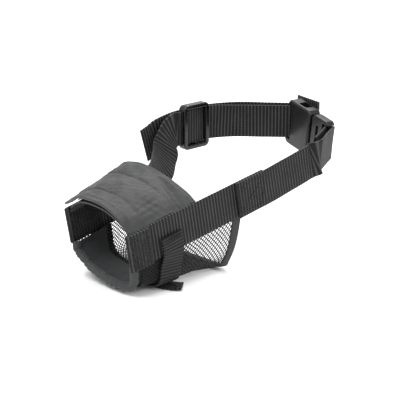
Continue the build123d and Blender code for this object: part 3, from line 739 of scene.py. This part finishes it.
def stitches(name, lines, length, gap, radius, body, material=thread_material):
    """Rows of short round stitches; a line is points with the surface's outward directions."""
    points, faces = [], []
    for path, normals in lines:
        line, along = smooth_line(np.hstack([path, normals]), 0.25)
        count = max(int(along[-1] / (length + gap)), 1)
        for k in range(count):
            stops = (k + 0.5) * along[-1] / count + STITCH_ALONG * length
            at = np.stack([np.interp(stops, along, line[:, j]) for j in range(3)], 1)
            up = unit(np.stack([np.interp(stops, along, line[:, j]) for j in range(3, 6)], 1))
            side = unit(np.cross(unit(np.gradient(at, axis=0)), up))
            start = len(points)
            for middle, u, s in zip(at + up * (STITCH_HEIGHT * radius)[:, None], up, side):
                for turn in np.arange(STITCH_SIDES) * 2 * math.pi / STITCH_SIDES:
                    points.append(middle + (u * math.cos(turn) + s * math.sin(turn)) * radius)
            faces += grid_faces(len(stops), STITCH_SIDES, wrap_columns=True, start=start)
            faces += [list(range(start, start + STITCH_SIDES))[::-1],
                      list(range(len(points) - STITCH_SIDES, len(points)))]
    obj = make(name, np.array(points), faces, np.array(points)[:, :2])
    return finish_piece(obj, material, body=body)


def flap_line(y, first=0.15, last=7.9):
    """A line of stitches across the outer flap, with the surface's directions."""
    surface, _ = flap_surface(np.array([y - 0.4, y, y + 0.4]), 0, first, last)
    across = np.gradient(surface, axis=1)
    forward = surface[2] - surface[0]
    normal = unit(np.cross(forward[None], across[1:2]))[0]
    normal *= np.sign(normal[:, 2:3])
    return surface[1][::4], normal[::4]


hem_path, hem_normals = flap_line(HEM - 1.0)
flap_lines = [flap_line(y) for y in STITCH_ROWS]
flap_lines += [(hem_path + [0, 0, HEM_STEP], hem_normals), flap_line(FLAP_LENGTH - 1.6)]
stitches("flap_stitches", flap_lines, 2.0, 0.35, 0.15, "nose_flap", seam_thread)


def on_side(side, y, across, outward):
    """A path on a side webbing: places along it, heights across it and how far out, with its directions."""
    path = np.stack([side * (side_x(y) + outward), y, side_z(y) + across], 1)
    return path, np.tile([side, 0, 0], (len(path), 1))


def side_box(side, end_y, size=19.0):
    """A sewn square with a cross, on the strap's outer face."""
    h = size / 2
    corners = [np.array(c) for c in ((-h, -h), (h, -h), (h, h), (-h, h))]
    runs = list(zip(corners, corners[1:] + corners[:1]))
    runs += [(corners[0], corners[2]), (corners[1], corners[3])]
    lines = []
    for start, end in runs:
        along, across = np.linspace(start, end, 8).T
        lines.append(on_side(side, end_y - OVERLAP / 2 + along, across, PLY + WEB_THICK / 2))
    return lines


for side, name, end_y in ((1, "box_stitch_left", LEFT_END_Y), (-1, "box_stitch_right", RIGHT_END_Y)):
    sewn = stitches(name + "_thread", side_box(side, end_y), 2.0, 0.5, 0.22, "muzzle")
    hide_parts(name)

# Bartacks across both ends of the chin strap
bartack_lines = []
bartack_run = np.linspace(-7.6, 7.6, 12)
for side, slant in ((1, 1.9), (-1, 0)):
    for z in (-1.4, -2.4, -3.4):
        x = chin_beside + 0.8 + SIDE_SPREAD * bartack_run
        height = side_z(CHIN_Y) + z + SIDE_RISE * bartack_run
        path = np.stack([side * x, CHIN_Y - slant + bartack_run, height], 1)
        bartack_lines.append((path, np.tile([side, 0, 0], (len(path), 1))))
sewn = stitches("chin_bartack_threads", bartack_lines, 1.5, 0.15, 0.25, "muzzle")
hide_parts("chin_bartacks")


def hooks(name, side, from_y, to_y, outward, facing, count, seed):
    """Short crossed fibres scattered over a stretch of side webbing, like hook tape."""
    draw = np.random.default_rng(seed)
    lines = []
    for y, height, turn in zip(draw.uniform(from_y, to_y, count), draw.uniform(-11.6, 11.6, count),
                               draw.uniform(0, math.pi, count)):
        reach = np.array([-0.5, 0.0, 0.5])
        path, normals = on_side(side, y + reach * math.cos(turn), height + reach * math.sin(turn), outward)
        lines.append((path - [0, SIDE_RISE * height, 0], normals * facing))
    obj = stitches(name, lines, 0.9, 0.05, 0.17, "muzzle", hook_loop)


FACE_OUT, FACE_IN = PLY + WEB_THICK / 2, -WEB_THICK / 2
hooks("hooks_near", 1, 0.3, FOLD_LENGTH - 0.6, FACE_OUT, 1, 1000, 71)
hooks("hooks_far", -1, 6.9, RIGHT_START_Y + FOLD_LENGTH - 0.6, FACE_OUT, 1, 700, 73)
hooks("hooks_far_inner", -1, 8.0, 32.0, FACE_IN, -1, 1300, 79)


# --- Buckle and slider ---------------------------------------------------------------------------
for node in ("buckle_female", "buckle_male", "latch_arm_top", "latch_arm_bottom", "slider"):
    frame["nodes"][node].data.materials.clear()
    frame["nodes"][node].data.materials.append(slider_plastic if node == "slider" else buckle_plastic)


# --- Floor and light -----------------------------------------------------------------------------
floor_material = Shader("floor", 0.9, specular=0.1)
floor_material.shader.inputs["Base Color"].default_value = (0.92, 0.92, 0.92, 1)
FLOOR_REACH, FLOOR_GAP = 3000, 0.3
floor_corners = [(x * FLOOR_REACH, y * FLOOR_REACH, 0) for x, y in ((-1, -1), (1, -1), (1, 1), (-1, 1))]
floor = make("floor", floor_corners, [[0, 1, 2, 3]])
floor.location.z = cad_low.z - FLOOR_GAP * MM
floor.data.materials.append(floor_material.material)

world = bpy.data.worlds.new("studio")
bpy.context.scene.world = world
world.use_nodes = True
world.node_tree.nodes["Background"].inputs["Color"].default_value = (1, 1, 1, 1)
world.node_tree.nodes["Background"].inputs["Strength"].default_value = 0.95


def area_light(name, azimuth, elevation, distance, size, power):
    """A soft square light aimed at the muzzle."""
    data = bpy.data.lights.new(name, "AREA")
    data.size = size
    data.energy = power
    light = bpy.data.objects.new(name, data)
    bpy.context.scene.collection.objects.link(light)
    light.location = CAMERA_AIM + direction(azimuth, elevation) * distance
    light.rotation_euler = (CAMERA_AIM - light.location).to_track_quat("-Z", "Y").to_euler()


area_light("key", 5, 60, 1.1, 0.5, 8)
area_light("fill", 95, 35, 1.2, 0.5, 4)
area_light("rim", 215, 50, 1.2, 0.4, 7)

bpy.context.scene.view_settings.view_transform = "Standard"
